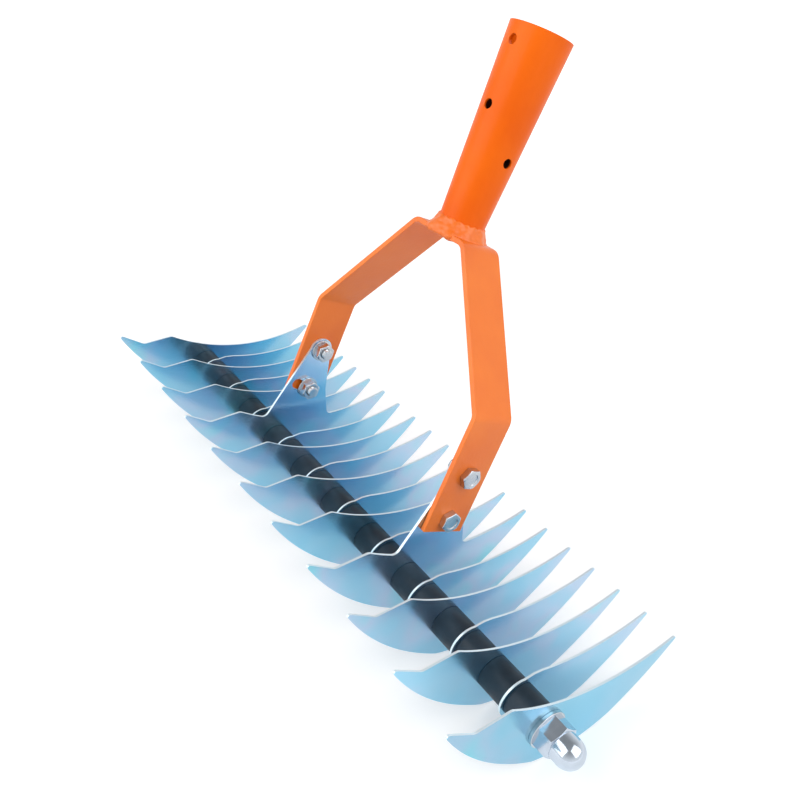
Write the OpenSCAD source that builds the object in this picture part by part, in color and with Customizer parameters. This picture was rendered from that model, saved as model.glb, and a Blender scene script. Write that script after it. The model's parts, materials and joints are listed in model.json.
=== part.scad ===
// Head of a thatch rake: a row of curved steel plates on one threaded rod, carried by a
// forked holder with a tapered socket for a pole. The holder tilts on two bracket plates.
// X runs along the rod, Z is up, the long teeth point to +Y. The origin is the middle of
// the socket's mouth, where the pole goes in.

/* [Stance] */
// Turn of the head about its rod, long teeth downward, in degrees
rake_tilt = 15.5; // [0:0.5:30]
// Lean of the fork towards the long teeth, measured on the head, in degrees
fork_lean = 11.3; // [0:0.5:20]
// Tilt that the fork can make on the head, in degrees
tilt_travel = 18; // [6:1:20]

/* [Plates] */
// Distance from one plate to the next along the rod
plate_pitch = 19; // [16:0.5:24]
// Thickness of a plain plate
plate_t = 1.2; // [0.8:0.1:2.5]
// Thickness of a bracket plate
bracket_t = 1.5; // [1:0.1:3]
// Reach of the long tooth from the rod, before its tip is rounded
long_reach = 85.6; // [76:0.2:95]
// Reach of the short hooked tooth from the rod, before its tip is rounded
short_reach = 69.4; // [62:0.2:78]
// Height of the long tip above the rod, before it is rounded
tip_rise = 29.2; // [26:0.1:33]
// Height of the short tip above the rod, before it is rounded
hook_rise = 25.8; // [23:0.1:29]
// Radius of the rounded tips
tip_r = 1.1; // [0.8:0.1:1.5]
// Depth of the cutting belly below the rod
belly_drop = 23.4; // [20:0.2:26]
// Place of the deepest point of the belly along the plate
belly_shift = 9; // [7:0.5:12]
// Reach of the heel, where the belly runs into the long tooth
heel_reach = 50; // [46:0.5:55]
// Depth of the heel below the rod
heel_drop = 11.8; // [10:0.2:13.6]
// Bulge of the edge between the heel and the long tip
tooth_bulge = 2.3; // [1.5:0.1:3.5]
// Bulge of the edge between the belly and the short tip
hook_bulge = 6.3; // [5:0.1:8]
// Place of the lowest point of the upper edge along the plate
saddle_shift = 21; // [18:0.2:25]
// Height of that point above the rod
saddle_rise = 13.1; // [12.6:0.1:14.5]
// Reach of the shoulder, the peak of the upper edge
shoulder_reach = 29.5; // [26:0.5:33]
// Height of the shoulder above the rod
shoulder_rise = 22.7; // [21:0.1:25]
// Reach of the kink where the short tooth begins
kink_reach = 49.5; // [45:0.5:54]
// Height of the kink above the rod
kink_rise = 17.7; // [16.5:0.1:19.5]
// Radius of the rounded corners at the kink and the shoulder
edge_round = 5; // [2:0.5:7]
// Radius of the rounded end of a plate with one tooth only
collar_r = 11.4; // [10.6:0.1:12]
// Place of the corner where that end runs into the upper edge
collar_shift = 6; // [4:0.5:9]
// Radius of that corner
collar_round = 7; // [4:0.5:10]

/* [Bracket] */
// Place of the tilt pivot along the plate
pivot_shift = 22; // [16:0.5:26]
// Height of the tilt pivot above the rod
pivot_rise = 63.5; // [56:0.5:72]
// Distance from the pivot to the bolt in the curved slot
bolt_spacing = 27.3; // [24:0.1:30]
// Radius of the rounded top of the tab round the pivot
tab_r = 7.8; // [7.2:0.1:11]
// Reach of the tab's foot on the short-tooth side
tab_foot_reach = 10.5; // [6:0.5:14]
// Reach of the tab's foot on the long-tooth side
tab_heel_reach = 37; // [33:0.5:42]
// Reach of the tab's waist, where its straight side begins
tab_waist_reach = 31.6; // [30:0.2:36]
// Height of the waist above the rod
tab_waist_rise = 34; // [28:0.5:42]
// Radius of the rounded inner corners at the tab's foot
tab_fillet = 4; // [2:0.5:6]

/* [Rod and spacers] */
// Radius of the threaded rod
rod_r = 5; // [4:0.1:6]
// Clearance round the rod in plates, spacers and washers
rod_clear = 0.25; // [0.1:0.05:0.5]
// Outer radius of a spacer tube
spacer_r = 9.3; // [8:0.1:11]
// Bevel on the ends of a spacer
spacer_bevel = 0.3; // [0.1:0.1:1]
// Radius of an end washer
end_washer_r = 10.5; // [9:0.1:12]
// Thickness of an end washer
end_washer_t = 2; // [1.5:0.1:3]
// Width across the flats of a cap nut
cap_flats = 17; // [14:0.5:19]
// Height of a cap nut's hexagon
cap_hex_h = 9; // [6:0.5:11]
// Radius of a cap nut's dome
cap_dome_r = 8; // [6.8:0.1:8.4]
// Length of the straight collar under the dome
cap_collar_h = 4.4; // [2:0.1:6]
// Wall left over the rod's end inside the dome
cap_wall = 2.8; // [1.5:0.1:4]

/* [Fork] */
// Width of the fork's flat bar
bar_w = 28; // [25:1:34]
// Thickness of the fork's flat bar
bar_t = 3; // [2.5:0.1:4]
// Length of the bar below the lower bolt
foot_margin = 8; // [7:0.5:12]
// Height of the bend above the pivot
bend_rise = 34.5; // [28:0.5:42]
// Height of the bridge's upper face above the pivot
bridge_rise = 109; // [96:1:120]
// Flat kept on the bridge beside the weld
bridge_margin = 5.4; // [3:0.5:8]
// Inner radius of the bends
bend_r = 5; // [3:0.5:8]
// Gap between the fork's faces and the bracket plates
slide_gap = 0.15; // [0.1:0.05:0.4]

/* [Socket] */
// Length of the socket
socket_len = 111; // [95:1:130]
// Outer radius at the mouth
mouth_r = 17.9; // [16.8:0.1:20]
// Outer radius at the weld
base_r = 12.9; // [11.5:0.1:14]
// Wall of the tapered part
socket_wall = 1.8; // [1.2:0.1:2.2]
// Radius of the straight seat for the pole
seat_r = 15.2; // [14.5:0.1:15.4]
// Length of the straight seat
seat_len = 25; // [15:1:28]
// Radius of a screw hole
screw_r = 2.75; // [2:0.05:3.2]
// Distance of the first screw hole from the mouth
screw_1_drop = 9.5; // [6:0.5:14]
// Distance of the second screw hole from the mouth
screw_2_drop = 42.5; // [32:0.5:50]
// Distance of the cross hole from the mouth
screw_3_drop = 66.5; // [55:0.5:80]
// Width of the weld bead
weld_leg = 3.2; // [1.5:0.1:4]
// Height of the weld bead
weld_h = 6.5; // [3:0.1:7]

/* [Fork bolts] */
// Radius of a fork bolt
bolt_r = 3.2; // [2.8:0.1:3.4]
// Width across the flats of bolt heads and nuts
bolt_flats = 11; // [10:0.1:12]
// Height of a bolt head
head_h = 4; // [3:0.1:5]
// Radius of the shallow dish pressed into a bolt head
dish_r = 3.5; // [2.4:0.1:4]
// Depth of that dish
dish_h = 0.5; // [0.3:0.1:1]
// Height of a nut
nut_h = 5; // [4:0.1:6]
// Radius of a fork washer
washer_r = 7; // [6:0.1:8]
// Thickness of a fork washer
washer_t = 1.2; // [0.8:0.1:1.6]
// Length of thread that shows past a nut
bolt_end = 2.4; // [1:0.1:4]
// Clearance of a bolt in the pivot hole
pivot_clear = 0.08; // [0.05:0.01:0.2]
// Clearance of a bolt in the curved slot
slot_clear = 0.4; // [0.2:0.05:0.5]
// Clearance of a bolt in the bar, a washer and a nut
bolt_clear = 0.2; // [0.1:0.05:0.4]

/* [Hidden] */
$fn = 96;
// Run of every cut past the face that it cuts
overrun = 1;
// Bevel on the corners of hexagons, as a share of the flats
hex_bevel_share = 0.05;
// How far out a straight side meets a round end, as a share of its radius
join_share = 0.95;
// Steps in the arc of a bend
bend_steps = 8;
// Plates on the rod, and steps from the middle to a bracket plate
plate_count = 21;
bracket_steps = 4;
middle = (plate_count - 1) / 2;
last_plate = plate_count - 1;
bracket_places = [middle - bracket_steps, middle + bracket_steps];
double_places = [for (k = [0 : 2 : last_plate]) if (abs(k - middle) != bracket_steps) k];
single_places = [for (k = [1 : 2 : last_plate]) k];
double_count = len(double_places);
single_count = len(single_places);
spacer_count = last_plate;

// Thickness and middle of the plate at a place on the rod
function thickness(k) = abs(k - middle) == bracket_steps ? bracket_t : plate_t;
function place_x(k) = (k - middle) * plate_pitch;

// Circle through three points, as [centre, radius]
function sq(p) = p * p;
function circle_cross(a, b, c) = 2 * ((b - a)[0] * (c - a)[1] - (b - a)[1] * (c - a)[0]);
function circle_at(a, b, c) =
    let(d = circle_cross(a, b, c), m = sq(b - a), n = sq(c - a))
    a + [(c - a)[1] * m - (b - a)[1] * n, (b - a)[0] * n - (c - a)[0] * m] / d;
function circle_of(a, b, c) = let(o = circle_at(a, b, c)) [o, norm(o - a)];

// The plate's outline: belly and upper edge are arcs through named points
long_tip = [long_reach, tip_rise];
hook_tip = [-short_reach, hook_rise];
belly_low = [belly_shift, -belly_drop];
belly_end_share = 0.97;
belly_end = [0, -belly_drop * belly_end_share];
belly_heel = [heel_reach, -heel_drop];
kink = [-kink_reach, kink_rise];
shoulder = [-shoulder_reach, shoulder_rise];
// An arc from a to b that bulges to the right of the way
function bulged(a, b, rise) =
    let(way = (b - a) / norm(b - a))
    circle_of(a, (a + b) / 2 + rise * [way[1], -way[0]], b);
belly_arc = circle_of(belly_end, belly_low, belly_heel);
hook_arc = bulged(hook_tip, belly_end, hook_bulge);
tooth_arc = bulged(belly_heel, long_tip, tooth_bulge);
crown_arc = circle_of(long_tip, [saddle_shift, saddle_rise], shoulder);
// Direction of an arc at one of its points, turned to the right of the way out from its middle
function arc_way(arc, p) = [p[1] - arc[0][1], arc[0][0] - p[0]] / arc[1];
// Height and direction of the plate's upper edge at a reach x
function crown_at(x) = let(o = crown_arc[0]) o[1] - sqrt(pow(crown_arc[1], 2) - pow(x - o[0], 2));
function crown_way(x) = [crown_arc[0][1] - crown_at(x), x - crown_arc[0][0]];
// Slope of the upper edge of the short tooth
hook_slope = (hook_rise - kink_rise) / (short_reach - kink_reach);
// A frame well outside the plate, for cutting
far_out = 2 * (long_reach + short_reach);
bore_r = rod_r + rod_clear;

// The tilt pivot and the fork's own axes: u runs up the fork, w across the bar
pivot = [pivot_shift, pivot_rise];
fork_up = [sin(fork_lean), cos(fork_lean)];
mouth_u = bridge_rise + socket_len;
mouth_at = pivot + mouth_u * fork_up;
// Place of the socket's mouth before the origin is moved there
mouth_y = mouth_at[0] * cos(rake_tilt) + mouth_at[1] * sin(rake_tilt);
mouth_z = mouth_at[1] * cos(rake_tilt) - mouth_at[0] * sin(rake_tilt);

// The bar's faces along X
leg_in = bracket_steps * plate_pitch + bracket_t / 2 + slide_gap;
leg_out = leg_in + bar_t;
foot_u = -(bolt_spacing + foot_margin);
bridge_half = base_r + weld_leg + bridge_margin;
// Turn of the bar at its lower and upper bends
lower_turn = atan2(leg_out - bridge_half, bridge_rise - bend_rise);
upper_turn = 90 - lower_turn;
bar_outer = [
    [leg_out, foot_u], [leg_out, bend_rise], [bridge_half, bridge_rise],
    [-bridge_half, bridge_rise], [-leg_out, bend_rise], [-leg_out, foot_u]
];
inner_bend = [leg_in, bend_rise - bar_t * tan(lower_turn / 2)];
inner_bridge = [bridge_half - bar_t * tan(upper_turn / 2), bridge_rise - bar_t];
bar_inner = [
    [leg_in, foot_u], inner_bend, inner_bridge,
    [-inner_bridge[0], inner_bridge[1]], [-inner_bend[0], inner_bend[1]], [-leg_in, foot_u]
];

// The stack of a fork bolt along X, from the head inward
washer_x = bracket_steps * plate_pitch - bracket_t / 2 - slide_gap - washer_t;
nut_x = washer_x - nut_h;
bolt_tip_x = nut_x - bolt_end;

// The stack at a rod end
end_washer_x = middle * plate_pitch + plate_t / 2;
cap_x = end_washer_x + end_washer_t;
cap_dome_z = cap_hex_h + cap_collar_h;
cap_bore_h = cap_dome_z + cap_dome_r - cap_wall;
rod_gap = rod_clear;
rod_half = cap_x + cap_bore_h - 2 * rod_gap;

function unit(v) = v / norm(v);
// Points of a rounded corner at b, on the way from a to c
function corner(a, b, c, r) =
    let(p = unit(a - b), q = unit(c - b), half = acos(p * q) / 2,
        o = b + unit(p + q) * r / sin(half), s = b + p * r / tan(half) - o,
        e = b + q * r / tan(half) - o, from = atan2(s[1], s[0]), to = atan2(e[1], e[0]),
        way = to - from, turn = way > 180 ? way - 360 : way < -180 ? way + 360 : way)
    [for (i = [0 : bend_steps]) o + r * [cos(from + turn * i / bend_steps), sin(from + turn * i / bend_steps)]];
function rounded(path, r) =
    let(n = len(path) - 1)
    concat([path[0]], [for (i = [1 : n - 1]) each corner(path[i - 1], path[i], path[i + 1], r)], [path[n]]);
function backward(list) = [for (i = [len(list) - 1 : -1 : 0]) list[i]];

// Point where a line from p touches a circle on its left side, or on its right side if r is negative
function touch(p, o, r) =
    let(d = o - p, a = atan2(d[1], d[0]) + asin(r / norm(d)), run = sqrt(sq(d) - r * r))
    p + run * [cos(a), sin(a)];

// Puts what is drawn about the rod into the part's own frame
module on_rod() {
    translate([0, -mouth_y, -mouth_z])
        rotate([-rake_tilt, 0, 0])
            children();
}

// Puts what is drawn about the pivot, with u up, into the part's own frame
module on_fork() {
    on_rod()
        translate([0, pivot_shift, pivot_rise])
            rotate([-fork_lean, 0, 0])
                children();
}

// Stands a flat outline, drawn across and up, square to the rod
module sheet(t) {
    rotate([90, 0, 90])
        linear_extrude(t, center = true)
            children();
}

module disc(arc) {
    translate(arc[0])
        circle(arc[1]);
}

// Everything below the upper edge of the short tooth
module under_short_tooth() {
    start = [-far_out, hook_rise + (far_out - short_reach) * hook_slope];
    next_x = edge_round - shoulder_reach;
    polygon(concat(
        [start],
        corner(start, kink, shoulder, edge_round),
        corner(kink, shoulder, [next_x, crown_at(next_x)], edge_round),
        [[far_out, far_out], [far_out, -far_out], [-far_out, -far_out]]
    ));
}

// Everything outside the belly's arc, between the edges of the two teeth
module below_belly() {
    from = belly_end[0] - short_reach / 4;
    to = heel_reach + (long_reach - heel_reach) / 4;
    difference() {
        translate([from, -far_out])
            square([to - from, far_out]);
        disc(belly_arc);
    }
}

// Rounds the tip at p, where edges leave in the directions a and b
module rounded_tip(p, a, b) {
    way = (a + b) / norm(a + b);
    half = acos(a * b) / 2;
    middle_of_tip = p + way * tip_r / sin(half) / join_share;
    difference() {
        children();
        translate(middle_of_tip)
            rotate(atan2(way[1], way[0]))
                translate([-far_out, -far_out / 2])
                    square(far_out);
    }
    translate(middle_of_tip)
        circle(tip_r);
}

module crescent() {
    rounded_tip(long_tip, arc_way(crown_arc, long_tip), arc_way(tooth_arc, long_tip))
        rounded_tip(hook_tip, (kink - hook_tip) / norm(kink - hook_tip), -arc_way(hook_arc, hook_tip))
            difference() {
                intersection() {
                    disc(hook_arc);
                    disc(tooth_arc);
                    under_short_tooth();
                }
                disc(crown_arc);
                below_belly();
            }
}

module double_outline() {
    difference() {
        crescent();
        circle(bore_r);
    }
}

// The one-toothed plate keeps the long tooth and ends in a round collar on the rod
module single_outline() {
    join_r = collar_r * join_share;
    bend = [collar_shift, saddle_rise];
    into_crown = [saddle_shift, crown_at(collar_shift)];
    side = touch(bend, [0, 0], -join_r);
    difference() {
        union() {
            circle(collar_r);
            intersection() {
                crescent();
                polygon(concat(
                    [side],
                    corner(side, bend, into_crown, collar_round),
                    [into_crown, [far_out, far_out], [far_out, -far_out]],
                    [[far_out - join_r * cos(45), -far_out], join_r * [-cos(45), -sin(45)]]
                ));
            }
        }
        circle(bore_r);
    }
}

// The bracket's tab runs from the plate up to a round end at the pivot
module tab_outline() {
    foot = [-tab_foot_reach, crown_at(-tab_foot_reach)];
    heel = [tab_heel_reach, crown_at(tab_heel_reach)];
    waist = [tab_waist_reach, tab_waist_rise];
    join_r = tab_r * join_share;
    top = touch(foot, pivot, join_r);
    union() {
        translate(pivot)
            circle(tab_r);
        polygon(concat(
            [top],
            corner(top, foot, foot - crown_way(foot[0]), tab_fillet),
            [[-tab_foot_reach, 0], [tab_heel_reach, 0]],
            corner(heel + crown_way(heel[0]), heel, waist, tab_fillet),
            [waist, pivot + [join_r, 0], pivot]
        ));
    }
}

// The curved slot that the lower bolt runs in, drawn about the pivot
module slot_outline() {
    half = bolt_r + slot_clear;
    join = half * join_share;
    reach = 2 * bolt_spacing;
    intersection() {
        difference() {
            circle(bolt_spacing + join);
            circle(bolt_spacing - join);
        }
        polygon([[0, 0], [0, -reach], reach * [-sin(tilt_travel), -cos(tilt_travel)]]);
    }
    for (a = [0, tilt_travel])
        rotate(-a)
            translate([0, -bolt_spacing])
                circle(half);
}

module bracket_outline() {
    difference() {
        union() {
            crescent();
            tab_outline();
        }
        circle(bore_r);
        translate(pivot)
            circle(bolt_r + pivot_clear);
        translate(pivot)
            rotate(-fork_lean)
                slot_outline();
    }
}

module double_blade(i) {
    color([0.62, 0.79, 0.89])
        on_rod()
            translate([place_x(double_places[i - 1]), 0, 0])
                sheet(plate_t)
                    double_outline();
}

module single_blade(i) {
    color([0.55, 0.73, 0.86])
        on_rod()
            translate([place_x(single_places[i - 1]), 0, 0])
                sheet(plate_t)
                    single_outline();
}

module bracket_blade(i) {
    color([0.5, 0.7, 0.85])
        on_rod()
            translate([place_x(bracket_places[i - 1]), 0, 0])
                sheet(bracket_t)
                    bracket_outline();
}

// A spacer fills the room between the faces of two plates
module spacer(i) {
    low = place_x(i - 1) + thickness(i - 1) / 2;
    len_x = place_x(i) - thickness(i) / 2 - low;
    color([0.16, 0.19, 0.23])
        on_rod()
            translate([low, 0, 0])
                rotate([0, 90, 0])
                    rotate_extrude()
                        polygon([
                            [bore_r, 0],
                            [spacer_r - spacer_bevel, 0],
                            [spacer_r, spacer_bevel],
                            [spacer_r, len_x - spacer_bevel],
                            [spacer_r - spacer_bevel, len_x],
                            [bore_r, len_x]
                        ]);
}

module threaded_rod() {
    color([0.72, 0.74, 0.76])
        on_rod()
            rotate([0, 90, 0])
                cylinder(h = 2 * rod_half, r = rod_r, center = true);
}

// Draws the same piece at both ends, turned outward
module both_ends() {
    for (side = [0, 1])
        mirror([side, 0, 0])
            rotate([0, 90, 0])
                children();
}

module end_washers() {
    color([0.78, 0.8, 0.82])
        on_rod()
            both_ends()
                translate([0, 0, end_washer_x])
                    difference() {
                        cylinder(h = end_washer_t, r = end_washer_r);
                        translate([0, 0, -overrun])
                            cylinder(h = end_washer_t + 2 * overrun, r = bore_r);
                    }
}

// A hexagon with bevelled corners; flats is its width and h its height
module hexagon(flats, h) {
    bevel = flats * hex_bevel_share;
    outer = flats / 2 / cos(30);
    intersection() {
        cylinder(h = h, r = outer, $fn = 6);
        rotate_extrude()
            polygon([
                [0, 0],
                [outer, 0],
                [outer, h - bevel],
                [outer - 2 * bevel, h],
                [0, h]
            ]);
    }
}

module cap_nut() {
    difference() {
        union() {
            hexagon(cap_flats, cap_hex_h);
            cylinder(h = cap_dome_z, r = cap_dome_r);
            translate([0, 0, cap_dome_z])
                sphere(cap_dome_r);
        }
        translate([0, 0, -cap_flats])
            cylinder(h = cap_flats + cap_bore_h, r = bore_r);
        translate([0, 0, -cap_flats])
            cylinder(h = cap_flats, r = cap_flats);
    }
}

module cap_nuts() {
    color([0.82, 0.84, 0.86])
        on_rod()
            both_ends()
                translate([0, 0, cap_x])
                    cap_nut();
}

// Draws about the axis of a fork bolt at both arms, outward along its own Z
module bolt_axes(drops) {
    for (drop = drops)
        for (side = [0, 1])
            mirror([side, 0, 0])
                translate([0, 0, -drop])
                    rotate([0, 90, 0])
                        children();
}

module yoke() {
    color([0.96, 0.43, 0.1])
        on_fork()
            difference() {
                rotate([90, 0, 0])
                    linear_extrude(bar_w, center = true)
                        polygon(concat(
                            rounded(bar_outer, bend_r + bar_t),
                            backward(rounded(bar_inner, bend_r))
                        ));
                bolt_axes([0, bolt_spacing])
                    translate([0, 0, leg_in - overrun])
                        cylinder(h = bar_t + 2 * overrun, r = bolt_r + bolt_clear);
            }
}

// Outer and inner radius of the tapered wall at a height above the bridge
function cone_r(h) = base_r + (mouth_r - base_r) * h / socket_len;
function cone_bore(h) = cone_r(h) - socket_wall;
seat_from = socket_len - seat_len;

// A radial hole through one wall, on the side that turn points to
module screw_hole(drop, turn) {
    translate([0, 0, socket_len - drop])
        rotate([0, 90, turn])
            cylinder(h = mouth_r + overrun, r = screw_r);
}

module pole_socket() {
    color([0.97, 0.45, 0.1])
        on_fork()
            translate([0, 0, bridge_rise])
                difference() {
                    rotate_extrude()
                        polygon([
                            [cone_bore(0), 0],
                            [base_r, 0],
                            [mouth_r, socket_len],
                            [seat_r, socket_len],
                            [seat_r, seat_from],
                            [cone_bore(seat_from), seat_from]
                        ]);
                    screw_hole(screw_1_drop, -90);
                    screw_hole(screw_2_drop, -90);
                    screw_hole(screw_3_drop, 0);
                    screw_hole(screw_3_drop, 180);
                }
}

// The bead fills the corner between the bridge and the socket
module socket_weld() {
    color([0.98, 0.52, 0.18])
        on_fork()
            translate([0, 0, bridge_rise])
                rotate_extrude()
                    polygon([
                        [base_r, 0],
                        [base_r + weld_leg, 0],
                        [cone_r(weld_h) + weld_leg / 2, weld_h / 2],
                        [cone_r(weld_h), weld_h]
                    ]);
}

module fork_bolt(turn) {
    translate([0, 0, leg_out])
        difference() {
            rotate(turn)
                hexagon(bolt_flats, head_h);
            translate([0, 0, head_h - dish_h])
                cylinder(h = dish_h + overrun, r = dish_r);
        }
    translate([0, 0, bolt_tip_x])
        cylinder(h = leg_out - bolt_tip_x, r = bolt_r);
}

module pivot_bolts() {
    color([0.8, 0.82, 0.84])
        on_fork()
            bolt_axes([0])
                fork_bolt(30);
}

module lock_bolts() {
    color([0.8, 0.82, 0.84])
        on_fork()
            bolt_axes([bolt_spacing])
                fork_bolt(0);
}

module fork_washers() {
    color([0.78, 0.8, 0.82])
        on_fork()
            bolt_axes([0, bolt_spacing])
                translate([0, 0, washer_x])
                    difference() {
                        cylinder(h = washer_t, r = washer_r);
                        translate([0, 0, -overrun])
                            cylinder(h = washer_t + 2 * overrun, r = bolt_r + bolt_clear);
                    }
}

module fork_nuts() {
    color([0.8, 0.82, 0.84])
        on_fork()
            bolt_axes([0, bolt_spacing])
                translate([0, 0, washer_x])
                    mirror([0, 0, 1])
                        difference() {
                            hexagon(bolt_flats, nut_h);
                            translate([0, 0, -overrun])
                                cylinder(h = nut_h + 2 * overrun, r = bolt_r + bolt_clear);
                        }
}

for (i = [1 : double_count])
    double_blade(i);
for (i = [1 : single_count])
    single_blade(i);
bracket_blade(1);  // bracket_blade_1
bracket_blade(2);  // bracket_blade_2
for (i = [1 : spacer_count])
    spacer(i);
threaded_rod();
end_washers();
cap_nuts();
yoke();
pole_socket();
socket_weld();
pivot_bolts();
lock_bolts();
fork_washers();
fork_nuts();
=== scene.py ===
# %% [markdown]
# # A thatch rake head, dressed for its picture
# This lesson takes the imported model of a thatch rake's head as it is, and gives it the finish of
# the real tool: orange powder coat on the fork and socket, blue-white zinc on the blades, black
# plastic on the spacers and bright plate on the nuts and bolts. A few small forms that are too
# fine for the construction model, such as the hand-laid weld and the bolts' threads, are modelled
# here. The first cell loads the frame. Its parts are in metres and already in place.

# %% Load the frame
import bpy
import json
import math
from mathutils import Matrix, Vector

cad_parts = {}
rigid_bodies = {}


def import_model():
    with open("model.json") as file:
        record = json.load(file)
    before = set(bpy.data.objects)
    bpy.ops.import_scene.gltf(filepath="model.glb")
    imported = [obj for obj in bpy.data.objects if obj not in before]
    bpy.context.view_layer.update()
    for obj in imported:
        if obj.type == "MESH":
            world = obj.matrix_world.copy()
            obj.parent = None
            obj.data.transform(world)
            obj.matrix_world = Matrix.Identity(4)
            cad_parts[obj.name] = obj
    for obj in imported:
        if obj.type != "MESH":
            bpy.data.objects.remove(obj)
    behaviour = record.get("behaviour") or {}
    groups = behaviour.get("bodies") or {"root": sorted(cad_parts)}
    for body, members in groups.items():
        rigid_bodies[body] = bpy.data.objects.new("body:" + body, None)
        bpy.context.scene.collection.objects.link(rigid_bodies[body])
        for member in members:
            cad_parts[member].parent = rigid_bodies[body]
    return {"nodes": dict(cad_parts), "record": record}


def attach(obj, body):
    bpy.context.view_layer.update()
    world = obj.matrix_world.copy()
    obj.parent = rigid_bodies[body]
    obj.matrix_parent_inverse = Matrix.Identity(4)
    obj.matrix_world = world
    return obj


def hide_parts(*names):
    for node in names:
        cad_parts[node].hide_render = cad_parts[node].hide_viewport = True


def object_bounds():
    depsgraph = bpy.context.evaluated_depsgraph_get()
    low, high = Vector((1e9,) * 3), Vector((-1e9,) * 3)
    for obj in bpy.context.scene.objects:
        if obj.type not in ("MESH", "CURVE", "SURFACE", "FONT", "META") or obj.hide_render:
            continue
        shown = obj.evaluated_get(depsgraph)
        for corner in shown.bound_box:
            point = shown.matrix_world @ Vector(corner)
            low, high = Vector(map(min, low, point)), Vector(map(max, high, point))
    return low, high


for leftover in list(bpy.data.objects):
    bpy.data.objects.remove(leftover)
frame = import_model()
cad_low, cad_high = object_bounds()
nodes = frame["nodes"]
scene = bpy.context.scene
print("loaded", len(nodes), "nodes, box", [round(v, 4) for v in (*cad_low, *cad_high)])

# %% [markdown]
# ## Where things are
# The origin is the middle of the socket's mouth. The socket's axis comes from the record, so the
# pieces below are placed along the same line as the construction. `up` runs up the fork, `across`
# runs over the width of its flat bar, and X runs along the rod. The other sizes here repeat the
# construction's own, in metres.

# %% The fork's own directions
socket = next(m for m in frame["record"]["mounts"] if m["name"] == "pole_socket")
up = Vector(socket["axis"]).normalized()
along = Vector((1, 0, 0))
across = up.cross(along)
socket_length = 0.111
mouth_radius = 0.0179
foot_radius = 0.0129
bar_half = 0.014
pivot_drop = 0.220
bolt_spacing = 0.0273
bolt_tip = 0.0665
blade_lean = math.radians(15.5)
fork_turn = Matrix((along, across, up)).transposed().to_4x4()
print("up the fork", [round(v, 3) for v in up], "across the bar", [round(v, 3) for v in across])

# %% [markdown]
# ## The camera
# The picture was taken from above the near end of the rod, close enough that the row of blades
# gets clearly smaller towards the back. The camera's place, its three directions and its lens were
# found from the even spacing of the blades.

# %% Camera
eye = Vector((0.3504, -0.3284, 0.0984))
right_hand = Vector((0.564, 0.826, 0.002)).normalized()
backward = Vector((0.677, -0.464, 0.571)).normalized()
overhead = backward.cross(right_hand).normalized()
bpy.ops.object.camera_add(location=eye)
camera = bpy.context.object
camera.name = "PhotoCamera"
facing = Matrix((right_hand, overhead, backward)).transposed().to_4x4()
camera.matrix_world = Matrix.Translation(eye) @ facing
camera.data.sensor_width = 36.0
camera.data.lens = 38.8
camera.data.clip_start = 0.01
scene.camera = camera
print("camera", [round(v, 3) for v in camera.location], "lens", camera.data.lens)

# %% [markdown]
# ## Floor, sky and lamps
# A studio sweep is white paper under soft light. The floor is a plain white sheet just under the
# blades. To the camera it gets a glow of its own, so that it reads as white paper. The glow is weak
# near the rake, where the lamps reach and the shadow has to show, and stronger further off. In
# mirrors it is weaker too. The sky is a white wall at the horizon and a grey ceiling overhead,
# which gives polished metal something dark to show. As a light it is dimmer, so that colours come
# out about as written.

# %% Floor
def deselect():
    if bpy.context.object and bpy.context.object.mode != "OBJECT":
        bpy.ops.object.mode_set(mode="OBJECT")
    bpy.ops.object.select_all(action="DESELECT")


def add_node(tree, kind, place, **values):
    made = tree.nodes.new(kind)
    made.location = place
    for name, value in values.items():
        setattr(made, name, value)
    return made


def map_range(tree, place, start, end, low=0.0, high=1.0):
    made = add_node(tree, "ShaderNodeMapRange", place)
    settings = {"From Min": start, "From Max": end, "To Min": low, "To Max": high}
    for label, value in settings.items():
        made.inputs[label].default_value = value
    return made


def seen_directly(tree, place, in_mirrors):
    path = add_node(tree, "ShaderNodeLightPath", place)
    bent = add_node(tree, "ShaderNodeMath", (place[0] + 200, place[1]), operation="MAXIMUM")
    weaker = add_node(tree, "ShaderNodeMath", (place[0] + 400, place[1]), operation="MULTIPLY")
    weaker.inputs[1].default_value = in_mirrors
    seen = add_node(tree, "ShaderNodeMath", (place[0] + 600, place[1]), operation="MAXIMUM")
    tree.links.new(path.outputs["Is Glossy Ray"], bent.inputs[0])
    tree.links.new(path.outputs["Is Transmission Ray"], bent.inputs[1])
    tree.links.new(bent.outputs[0], weaker.inputs[0])
    tree.links.new(path.outputs["Is Camera Ray"], seen.inputs[0])
    tree.links.new(weaker.outputs[0], seen.inputs[1])
    return seen.outputs[0]


floor_gap = 0.0004
floor_height = cad_low.z - floor_gap
deselect()
bpy.ops.mesh.primitive_plane_add(size=14.0, location=(0.0, 0.0, floor_height))
floor = bpy.context.object
floor.name = "StudioFloor"
paper = bpy.data.materials.new("White paper")
paper.use_nodes = True
tree = paper.node_tree
sheet = tree.nodes["Principled BSDF"]
sheet.inputs["Base Color"].default_value = (0.86, 0.86, 0.86, 1)
sheet.inputs["Roughness"].default_value = 0.9
sheet.inputs["Emission Color"].default_value = (1, 1, 1, 1)
lift = add_node(tree, "ShaderNodeMath", (-200, -200), operation="MULTIPLY")
spot = add_node(tree, "ShaderNodeTexCoord", (-800, -500))
away = add_node(tree, "ShaderNodeVectorMath", (-600, -500), operation="LENGTH")
glow = map_range(tree, (-400, -500), 0.3, 1.1, 0.28, 0.66)
tree.links.new(spot.outputs["Object"], away.inputs[0])
tree.links.new(away.outputs["Value"], glow.inputs["Value"])
tree.links.new(glow.outputs["Result"], lift.inputs[1])
tree.links.new(seen_directly(tree, (-1000, -200), 0.7), lift.inputs[0])
tree.links.new(lift.outputs[0], sheet.inputs["Emission Strength"])
floor.data.materials.append(paper)
print("floor at", round(floor_height, 4))

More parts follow.
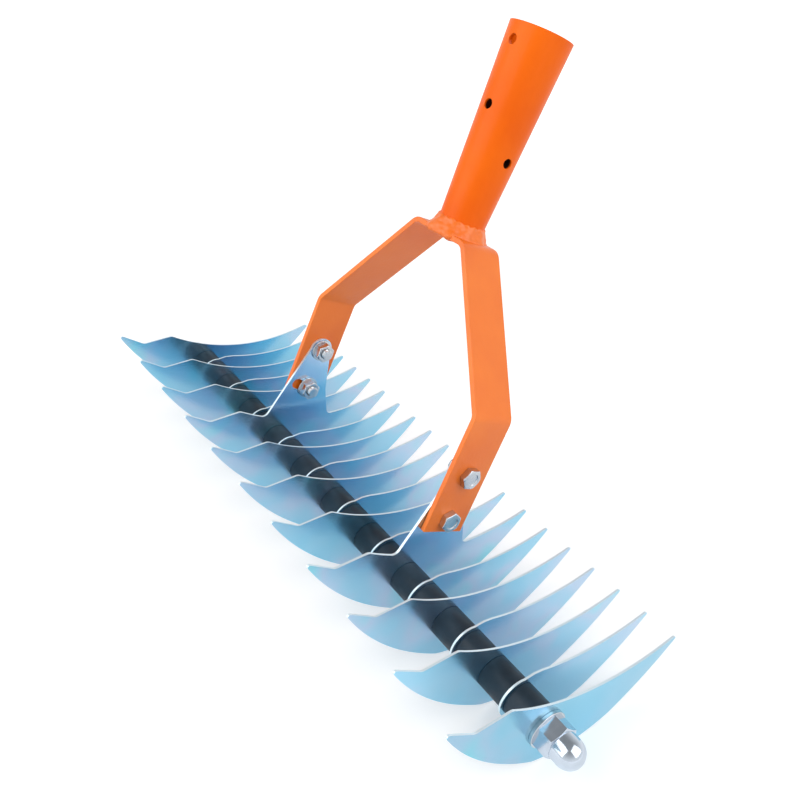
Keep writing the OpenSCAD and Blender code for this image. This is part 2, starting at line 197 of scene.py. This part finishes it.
# %% Sky and lamps
world = bpy.data.worlds.new("White studio")
scene.world = world
world.use_nodes = True
tree = world.node_tree
sky = tree.nodes["Background"]
sky.inputs["Color"].default_value = (1, 1, 1, 1)
level = map_range(tree, (-200, 0), 0.0, 1.0, 0.42)
direction = add_node(tree, "ShaderNodeTexCoord", (-1000, -300))
height = add_node(tree, "ShaderNodeSeparateXYZ", (-800, -300))
ceiling = map_range(tree, (-600, -300), 0.12, 0.85, 1.0, 0.36)
tree.links.new(direction.outputs["Generated"], height.inputs[0])
tree.links.new(height.outputs["Z"], ceiling.inputs["Value"])
tree.links.new(ceiling.outputs["Result"], level.inputs["To Max"])
tree.links.new(seen_directly(tree, (-1000, 0), 1.0), level.inputs["Value"])
tree.links.new(level.outputs["Result"], sky.inputs["Strength"])


def soft_lamp(name, place, aim, size, watts):
    deselect()
    bpy.ops.object.light_add(type="AREA", location=place)
    lamp = bpy.context.object
    lamp.name = name
    lamp.data.size = size
    lamp.data.energy = watts
    lamp.rotation_euler = (Vector(aim) - Vector(place)).to_track_quat("-Z", "Y").to_euler()


middle = (cad_low + cad_high) / 2
soft_lamp("KeyLamp", (-0.35, -1.25, 0.75), middle, 1.7, 18.0)
soft_lamp("FillLamp", (1.2, 0.45, 0.95), middle, 1.7, 17.0)
scene.view_settings.view_transform = "Standard"
print("sky and two soft lamps")

# %% [markdown]
# ## Shared effects
# Real finishes are never one flat colour. Three effects are kept as node groups: a soft mottle for
# slow changes, which every material uses, a drawn grain for the fine lines that rolling leaves on
# sheet metal, and a mask for the cut edges of a plate, which shine whiter than its faces.

# %% Node groups
def new_group(name, inputs, outputs):
    group = bpy.data.node_groups.new(name, "ShaderNodeTree")
    for label, value in inputs:
        made = group.interface.new_socket(
            name=label, in_out="INPUT", socket_type="NodeSocketFloat")
        made.default_value = value
    for label in outputs:
        group.interface.new_socket(
            name=label, in_out="OUTPUT", socket_type="NodeSocketFloat")
    entry = add_node(group, "NodeGroupInput", (-900, 0))
    leave = add_node(group, "NodeGroupOutput", (700, 0))
    return group, entry, leave


mottle, entry, leave = new_group(
    "Soft mottle", [("Scale", 30.0), ("Low", 0.0), ("High", 1.0)], ["Value"])
place = add_node(mottle, "ShaderNodeTexCoord", (-900, 300))
cloud = add_node(mottle, "ShaderNodeTexNoise", (-500, 200))
cloud.inputs["Detail"].default_value = 3.0
spread = map_range(mottle, (-200, 100), 0.32, 0.68)
mottle.links.new(place.outputs["Object"], cloud.inputs["Vector"])
mottle.links.new(entry.outputs["Scale"], cloud.inputs["Scale"])
mottle.links.new(cloud.outputs[0], spread.inputs["Value"])
mottle.links.new(entry.outputs["Low"], spread.inputs["To Min"])
mottle.links.new(entry.outputs["High"], spread.inputs["To Max"])
mottle.links.new(spread.outputs["Result"], leave.inputs["Value"])

grain, entry, leave = new_group(
    "Drawn grain", [("Length", 12.0), ("Fineness", 900.0), ("Turn", 0.0)], ["Value"])
place = add_node(grain, "ShaderNodeTexCoord", (-900, 300))
turned = add_node(grain, "ShaderNodeVectorRotate", (-700, 200), rotation_type="X_AXIS")
stretch = add_node(grain, "ShaderNodeCombineXYZ", (-700, -100))
scaled = add_node(grain, "ShaderNodeVectorMath", (-450, 150), operation="MULTIPLY")
lines = add_node(grain, "ShaderNodeTexNoise", (-200, 150))
lines.inputs["Scale"].default_value = 1.0
lines.inputs["Detail"].default_value = 2.0
grain.links.new(place.outputs["Object"], turned.inputs["Vector"])
grain.links.new(entry.outputs["Turn"], turned.inputs["Angle"])
grain.links.new(turned.outputs[0], scaled.inputs[0])
grain.links.new(entry.outputs["Length"], stretch.inputs["Y"])
grain.links.new(entry.outputs["Fineness"], stretch.inputs["X"])
grain.links.new(entry.outputs["Fineness"], stretch.inputs["Z"])
grain.links.new(stretch.outputs[0], scaled.inputs[1])
grain.links.new(scaled.outputs[0], lines.inputs["Vector"])
grain.links.new(lines.outputs[0], leave.inputs["Value"])

cut_edge, entry, leave = new_group("Cut edge", [("Steepness", 0.6)], ["Mask"])
place = add_node(cut_edge, "ShaderNodeTexCoord", (-900, 300))
apart = add_node(cut_edge, "ShaderNodeSeparateXYZ", (-600, 200))
size = add_node(cut_edge, "ShaderNodeMath", (-300, 200), operation="ABSOLUTE")
steep = add_node(cut_edge, "ShaderNodeMath", (0, 200), operation="LESS_THAN")
cut_edge.links.new(place.outputs["Normal"], apart.inputs[0])
cut_edge.links.new(apart.outputs["X"], size.inputs[0])
cut_edge.links.new(size.outputs[0], steep.inputs[0])
cut_edge.links.new(entry.outputs["Steepness"], steep.inputs[1])
cut_edge.links.new(steep.outputs[0], leave.inputs["Mask"])
print("groups", [g.name for g in bpy.data.node_groups])

# %% [markdown]
# ## Materials
# Each material starts from the Principled shader. Numbers that are the same all over are set on its
# sockets, and only what changes over the surface is wired in.

# %% Helpers for materials
def new_material(name, **constants):
    made = bpy.data.materials.new(name)
    made.use_nodes = True
    shader = made.node_tree.nodes["Principled BSDF"]
    for label, value in constants.items():
        shader.inputs[label.replace("_", " ")].default_value = value
    return made, made.node_tree, shader


def put_group(tree, group, place, **values):
    made = add_node(tree, "ShaderNodeGroup", place, node_tree=group)
    for label, value in values.items():
        made.inputs[label].default_value = value
    return made


def colour_steps(tree, value, place, steps):
    ramp = add_node(tree, "ShaderNodeValToRGB", place)
    band = ramp.color_ramp
    while len(band.elements) < len(steps):
        band.elements.new(0.5)
    for element, (at, colour) in zip(band.elements, steps):
        element.position = at
        element.color = (*colour, 1)
    tree.links.new(value, ramp.inputs["Fac"])
    return ramp.outputs["Color"]


def bump(tree, height, shader, place, strength, distance):
    made = add_node(tree, "ShaderNodeBump", place)
    made.inputs["Strength"].default_value = strength
    made.inputs["Distance"].default_value = distance
    tree.links.new(height, made.inputs["Height"])
    tree.links.new(made.outputs["Normal"], shader.inputs["Normal"])


# %% [markdown]
# ### Orange powder coat
# The coat is sprayed as powder and melted, so it flows into a gloss with a faint orange-peel
# ripple a couple of millimetres across. The colour drifts a little where the film is thicker. The
# fork's copy is painted lighter and yellower, and the socket's darker and redder, as painted light
# and shade.

# %% Orange powder coat
def orange_coat(name, sheen, thick, thin):
    made, tree, shader = new_material(name, Metallic=0.0, Specular_IOR_Level=sheen)
    drift = put_group(tree, mottle, (-900, 200), Scale=26.0)
    colour = colour_steps(tree, drift.outputs[0], (-600, 200), [(0.0, thick), (1.0, thin)])
    shine = put_group(tree, mottle, (-900, -100), Scale=60.0, Low=0.32, High=0.42)
    peel = put_group(tree, mottle, (-900, -400), Scale=520.0)
    tree.links.new(shine.outputs[0], shader.inputs["Roughness"])
    bump(tree, peel.outputs[0], shader, (-300, -400), 0.1, 0.0004)
    return made, tree, shader, colour


# Painted light: this copy of the coat is lighter and yellower than the socket's.
orange, tree, shader, colour = orange_coat(
    "Orange powder coat", 0.66, (0.86, 0.158, 0.003), (0.94, 0.205, 0.007))
tree.links.new(colour, shader.inputs["Base Color"])
print("made", orange.name)

# %% [markdown]
# Inside the socket, past the first centimetre or two, painted shade turns the wall a dark brown;
# where it begins is a guess. The mask measures the distance from the socket's axis, compares it
# with a line inside the tapered wall at that height, and fades out towards the mouth.

# %% Socket coat with painted shade inside
# Painted shade: this copy of the coat is darker and redder than the fork's.
socket_coat, tree, shader, colour = orange_coat(
    "Orange coat with painted shade inside", 0.17, (0.84, 0.120, 0.001), (0.92, 0.152, 0.002))
spot = add_node(tree, "ShaderNodeTexCoord", (-1700, 700))
level_out = add_node(tree, "ShaderNodeVectorRotate", (-1500, 700), rotation_type="X_AXIS")
level_out.inputs["Angle"].default_value = math.atan2(up.y, up.z)
split = add_node(tree, "ShaderNodeSeparateXYZ", (-1300, 700))
flat = add_node(tree, "ShaderNodeCombineXYZ", (-1100, 800))
reach = add_node(tree, "ShaderNodeVectorMath", (-900, 800), operation="LENGTH")
taper = add_node(tree, "ShaderNodeMath", (-900, 600), operation="MULTIPLY_ADD")
skin = 0.0010
taper.inputs[1].default_value = (mouth_radius - foot_radius) / socket_length
taper.inputs[2].default_value = mouth_radius - skin
inside = add_node(tree, "ShaderNodeMath", (-700, 700), operation="LESS_THAN")
tree.links.new(spot.outputs["Object"], level_out.inputs["Vector"])
tree.links.new(level_out.outputs[0], split.inputs[0])
tree.links.new(split.outputs["X"], flat.inputs["X"])
tree.links.new(split.outputs["Y"], flat.inputs["Y"])
tree.links.new(flat.outputs[0], reach.inputs[0])
tree.links.new(split.outputs["Z"], taper.inputs[0])
tree.links.new(reach.outputs["Value"], inside.inputs[0])
tree.links.new(taper.outputs[0], inside.inputs[1])
# Painted shade: deeper inside the socket, the coat's colour is mixed towards dark brown.
coat_or_painted_shade = add_node(tree, "ShaderNodeMix", (-300, 500), data_type="RGBA")
coat_or_painted_shade.inputs["B"].default_value = (0.085, 0.026, 0.012, 1)
deep = map_range(tree, (-700, 450), -0.012, -0.030)
painted_shade = add_node(tree, "ShaderNodeMath", (-500, 600), operation="MULTIPLY")
tree.links.new(split.outputs["Z"], deep.inputs["Value"])
tree.links.new(inside.outputs[0], painted_shade.inputs[0])
tree.links.new(deep.outputs["Result"], painted_shade.inputs[1])
tree.links.new(painted_shade.outputs[0], coat_or_painted_shade.inputs["Factor"])
tree.links.new(colour, coat_or_painted_shade.inputs["A"])
tree.links.new(coat_or_painted_shade.outputs["Result"], shader.inputs["Base Color"])
print("made", socket_coat.name)

# %% [markdown]
# ### Blue-white zinc
# Zinc plate on rolled sheet is a satin metal with a cold blue tint, and the passivation on it
# drifts through faint cyan and lilac. Its shine is blurred, so a spacer shows in it only as a dark
# blue patch. Between two blades the light is reflected several times, and the tint deepens each
# time, so the deep blue of the inner faces comes by itself. The plate at the near end comes out
# paler under these lamps than in the photo, so painted shade darkens its colour a little more than
# the others, most of all on its hook.

# %% Blue-white zinc
zinc, tree, shader = new_material("Blue-white zinc")
drift = put_group(tree, mottle, (-1200, 300), Scale=17.0)
tint = colour_steps(tree, drift.outputs[0], (-900, 300), [
    (0.0, (0.31, 0.68, 0.88)),
    (0.4, (0.39, 0.70, 0.89)),
    (0.7, (0.53, 0.69, 0.88)),
    (1.0, (0.35, 0.76, 0.89)),
])
spot = add_node(tree, "ShaderNodeTexCoord", (-1900, 700))
split = add_node(tree, "ShaderNodeSeparateXYZ", (-1700, 700))
# Painted shade: the near end plate's colour, most of all on its hook side, is multiplied darker.
end_plate = map_range(tree, (-1300, 800), 0.180, 0.188)
hook_side = map_range(tree, (-1300, 500), -0.110, -0.165, 0.35)
near_plate_shade = add_node(tree, "ShaderNodeMath", (-1100, 700), operation="MULTIPLY")
painted_near_shade = add_node(tree, "ShaderNodeMix", (-700, 500), data_type="RGBA", blend_type="MULTIPLY")
painted_near_shade.inputs["B"].default_value = (0.62, 0.76, 0.78, 1)
tree.links.new(spot.outputs["Object"], split.inputs[0])
tree.links.new(split.outputs["X"], end_plate.inputs["Value"])
tree.links.new(split.outputs["Y"], hook_side.inputs["Value"])
tree.links.new(end_plate.outputs["Result"], near_plate_shade.inputs[0])
tree.links.new(hook_side.outputs["Result"], near_plate_shade.inputs[1])
tree.links.new(near_plate_shade.outputs[0], painted_near_shade.inputs["Factor"])
tree.links.new(tint, painted_near_shade.inputs["A"])
edge = put_group(tree, cut_edge, (-900, 0))
blend = add_node(tree, "ShaderNodeMix", (-500, 200), data_type="RGBA")
blend.inputs["B"].default_value = (0.76, 0.89, 0.96, 1)
tree.links.new(edge.outputs[0], blend.inputs["Factor"])
tree.links.new(painted_near_shade.outputs["Result"], blend.inputs["A"])
tree.links.new(blend.outputs["Result"], shader.inputs["Base Color"])
dull = put_group(tree, mottle, (-1200, -200), Scale=45.0, Low=0.19, High=0.26)
rough_edge = add_node(tree, "ShaderNodeMix", (-500, -100))
rough_edge.inputs["B"].default_value = 0.42
tree.links.new(edge.outputs[0], rough_edge.inputs["Factor"])
tree.links.new(dull.outputs[0], rough_edge.inputs["A"])
tree.links.new(rough_edge.outputs["Result"], shader.inputs["Roughness"])
mirror = add_node(tree, "ShaderNodeMath", (-500, 400), operation="MULTIPLY_ADD")
mirror.inputs[1].default_value = -0.35
mirror.inputs[2].default_value = 0.96
tree.links.new(edge.outputs[0], mirror.inputs[0])
tree.links.new(mirror.outputs[0], shader.inputs["Metallic"])
rolled = put_group(
    tree, grain, (-1200, -500), Length=14.0, Fineness=1500.0, Turn=blade_lean)
bump(tree, rolled.outputs[0], shader, (-500, -400), 0.03, 0.0001)
print("made", zinc.name)

# %% [markdown]
# ### Bright plate, polished caps and black plastic
# The nuts, bolts and washers are barrel-plated and a little duller than the polished caps. The
# spacers are plain plastic tube with a fine matt texture.

# %% Bright plate and polished caps
def bright_plate(name, low, high, dull_low, dull_high):
    made, tree, shader = new_material(name, Metallic=1.0)
    drift = put_group(tree, mottle, (-900, 300), Scale=130.0)
    colour = colour_steps(tree, drift.outputs[0], (-600, 300), [(0.0, low), (1.0, high)])
    tree.links.new(colour, shader.inputs["Base Color"])
    dull = put_group(tree, mottle, (-900, 0), Scale=260.0, Low=dull_low, High=dull_high)
    tree.links.new(dull.outputs[0], shader.inputs["Roughness"])
    pits = put_group(tree, mottle, (-900, -300), Scale=1100.0)
    bump(tree, pits.outputs[0], shader, (-300, -300), 0.06, 0.0001)
    return made


plate = bright_plate("Bright zinc plate", (0.50, 0.53, 0.57), (0.66, 0.68, 0.70), 0.14, 0.26)
polished = bright_plate("Polished cap", (0.52, 0.59, 0.68), (0.62, 0.69, 0.78), 0.10, 0.18)
print("made", plate.name, polished.name)

# %% Black spacer plastic
plastic, tree, shader = new_material("Black spacer plastic", Metallic=0.0, Specular_IOR_Level=0.28)
drift = put_group(tree, mottle, (-900, 300), Scale=70.0)
colour = colour_steps(tree, drift.outputs[0], (-600, 300), [
    (0.0, (0.010, 0.022, 0.034)), (1.0, (0.020, 0.038, 0.056))])
tree.links.new(colour, shader.inputs["Base Color"])
dull = put_group(tree, mottle, (-900, 0), Scale=180.0, Low=0.36, High=0.52)
tree.links.new(dull.outputs[0], shader.inputs["Roughness"])
texture = put_group(tree, mottle, (-900, -300), Scale=900.0)
bump(tree, texture.outputs[0], shader, (-300, -300), 0.12, 0.0002)
print("made", plastic.name)

# %% [markdown]
# ## Dressing the construction parts
# The construction parts have the right shape, so they stay. Each gets its material and, because no
# real edge is perfectly sharp, all but the spacers and the rod get a small live bevel: the loose
# triangles are welded, flat faces are merged, and the edges left get rounded. Weighted normals then
# keep flat faces flat.

# %% Materials and rounded edges
def round_edges(part, width, segments=2, angle=38.0):
    weld = part.modifiers.new("Weld triangles", "WELD")
    weld.merge_threshold = 0.000002
    merge = part.modifiers.new("Merge flat faces", "DECIMATE")
    merge.decimate_type = "DISSOLVE"
    merge.angle_limit = math.radians(0.4)
    bevel = part.modifiers.new("Rounded edges", "BEVEL")
    bevel.width = width
    bevel.segments = segments
    bevel.limit_method = "ANGLE"
    bevel.angle_limit = math.radians(angle)
    even = part.modifiers.new("Even shading", "WEIGHTED_NORMAL")
    even.keep_sharp = False


def dress(part, material):
    part.data.materials.clear()
    part.data.materials.append(material)


sheet_edge = 0.00022
bolt_edge = 0.00025
cap_edge = 0.0003
tube_edge = 0.0004
bar_edge = 0.0012
for name, part in nodes.items():
    if "blade" in name:
        dress(part, zinc)
        round_edges(part, sheet_edge)
    elif name.startswith("spacer"):
        dress(part, plastic)
    elif name == "pole_socket":
        dress(part, socket_coat)
        round_edges(part, tube_edge)
    elif name in ("yoke", "socket_weld"):
        dress(part, orange)
        round_edges(part, bar_edge, segments=3)
    elif name == "cap_nuts":
        dress(part, polished)
        round_edges(part, cap_edge)
    else:
        dress(part, plate)
        if name != "threaded_rod":
            round_edges(part, bolt_edge)
print("dressed", len(nodes), "parts")

# %% [markdown]
# ## The weld
# The socket is welded to the fork by hand. Such a bead is a ring of overlapping drops, each laid
# before the last one has set, and the coat only softens them. A turned ring would look too even, so
# one drop is modelled and copied round the socket's foot, a little bigger or smaller each time. A
# voxel remesh then melts the ring into one bead.

# %% One drop of weld
def select_only(piece):
    deselect()
    piece.select_set(True)
    bpy.context.view_layer.objects.active = piece


def apply_modifier(piece, name, kind, **values):
    made = piece.modifiers.new(name, kind)
    for label, value in values.items():
        setattr(made, label, value)
    select_only(piece)
    bpy.ops.object.modifier_apply(modifier=name)


deselect()
bpy.ops.mesh.primitive_ico_sphere_add(subdivisions=3, radius=0.0023)
drop = bpy.context.object
bpy.ops.object.mode_set(mode="EDIT")
bpy.ops.mesh.select_all(action="SELECT")
bpy.ops.transform.resize(value=(1.5, 1.0, 0.95))
bpy.ops.object.mode_set(mode="OBJECT")
print("drop", [round(v * 1000, 2) for v in drop.dimensions], "mm")

# %% The bead round the socket's foot
# Places are in the fork's own directions, from the middle of the foot: along, across, up.
# Each row of drops has its distance from the axis, its start, its height and its size.
foot = Matrix.Translation(-socket_length * up) @ fork_turn
ring_count = 19
half_step = 0.17
bead_rows = [
    (0.0150, 0.0, -0.0011, 1.3),
    (0.0137, half_step, 0.0016, 1.1),
    (0.0131, 0.0, 0.0040, 0.9),
    (0.0128, half_step, 0.0066, 0.65),
]
places = []
for number in range(ring_count):
    turn = math.tau * number / ring_count
    for reach, start, height, size in bead_rows:
        places.append((reach, turn + start, height, size))

# A straight run along each edge of the bar, and one big drop where the bead was begun
edge_step = 0.0033
for side in (-1, 1):
    for step in range(-3, 4):
        shift = edge_step * step
        reach = math.hypot(shift, bar_half)
        places.append((reach, math.atan2(side * bar_half, shift), -0.0014, 0.8))
places.append((0.0143, math.radians(-95.0), 0.0008, 1.3))

# Sines of the number stand in for chance, so that each run gives the same bead
drops = []
for number, (reach, turn, height, size) in enumerate(places):
    select_only(drop)
    bpy.ops.object.duplicate()
    copy = bpy.context.object
    swell = size * (1.0 + 0.12 * math.sin(2.3 * number) + 0.06 * math.sin(5.1 * number + 1.0))
    lean = 0.35 * math.sin(3.7 * number)
    sideways = max(-bar_half, min(bar_half, reach * math.sin(turn)))
    spot = Vector((reach * math.cos(turn), sideways, height))
    lie = Matrix.Rotation(turn + math.pi / 2 + lean, 4, "Z")
    copy.matrix_world = foot @ Matrix.Translation(spot) @ lie @ Matrix.Scale(swell, 4)
    drops.append(copy)
bpy.data.objects.remove(drop)
print("drops", len(drops))

# %% Melt the drops together
deselect()
for copy in drops:
    copy.select_set(True)
bpy.context.view_layer.objects.active = drops[0]
bpy.ops.object.join()
bead = bpy.context.object
bead.name = "weld_bead"
bpy.ops.object.transform_apply(location=True, rotation=True, scale=True)
apply_modifier(bead, "Melt together", "REMESH", mode="VOXEL", voxel_size=0.00035)
apply_modifier(bead, "Soften", "SMOOTH", factor=0.5, iterations=60)
bpy.ops.object.shade_smooth()
dress(bead, orange)
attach(bead, "fork")
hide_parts("socket_weld")
print("bead", len(bead.data.polygons), "faces")

# %% [markdown]
# ## The bolts' threads
# Each fork bolt ends a little way past its nut, and the thread shows there. The construction has a
# plain round end, so one ridge is modelled: a small triangle, wound up by a Screw modifier at the
# fine pitch of such a bolt. It is copied to all four bolts and never mirrored, because a
# mirrored thread would be left-handed.

# %% One ridge of thread
thread_radius = 0.00308
thread_pitch = 0.00091
ridge_radius = 0.00046
turn_steps = 28
deselect()
bpy.ops.mesh.primitive_circle_add(
    vertices=3, radius=ridge_radius, location=(thread_radius, 0, 0),
    rotation=(math.pi / 2, math.pi / 2, 0))
ridge = bpy.context.object
bpy.ops.object.transform_apply(location=True, rotation=True, scale=True)
apply_modifier(
    ridge, "Wind up", "SCREW", axis="Z", screw_offset=thread_pitch, iterations=2,
    steps=turn_steps, render_steps=turn_steps, use_merge_vertices=False)
bpy.ops.object.mode_set(mode="EDIT")
bpy.ops.mesh.select_all(action="SELECT")
bpy.ops.mesh.remove_doubles(threshold=0.000001)
bpy.ops.mesh.select_all(action="SELECT")
bpy.ops.mesh.fill_holes(sides=4)
bpy.ops.mesh.select_all(action="SELECT")
bpy.ops.mesh.normals_make_consistent(inside=False)
bpy.ops.object.mode_set(mode="OBJECT")
print("ridge", [round(v * 1000, 2) for v in ridge.dimensions], "mm")

# %% Threads on the four bolts
tip_gap = 0.0003
number = 0
for side in (1, -1):
    outward = along * side
    stand = Matrix((up, outward.cross(up), outward)).transposed().to_4x4()
    for below in (pivot_drop, pivot_drop + bolt_spacing):
        select_only(ridge)
        bpy.ops.object.duplicate()
        thread = bpy.context.object
        number += 1
        thread.name = f"bolt_thread_{number}"
        start = outward * (bolt_tip + tip_gap) - up * below
        thread.matrix_world = Matrix.Translation(start) @ stand
        bpy.ops.object.transform_apply(location=True, rotation=True, scale=True)
        bpy.ops.object.shade_smooth_by_angle(angle=math.radians(30))
        dress(thread, plate)
        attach(thread, "fork")
bpy.data.objects.remove(ridge)
print("threads", number)
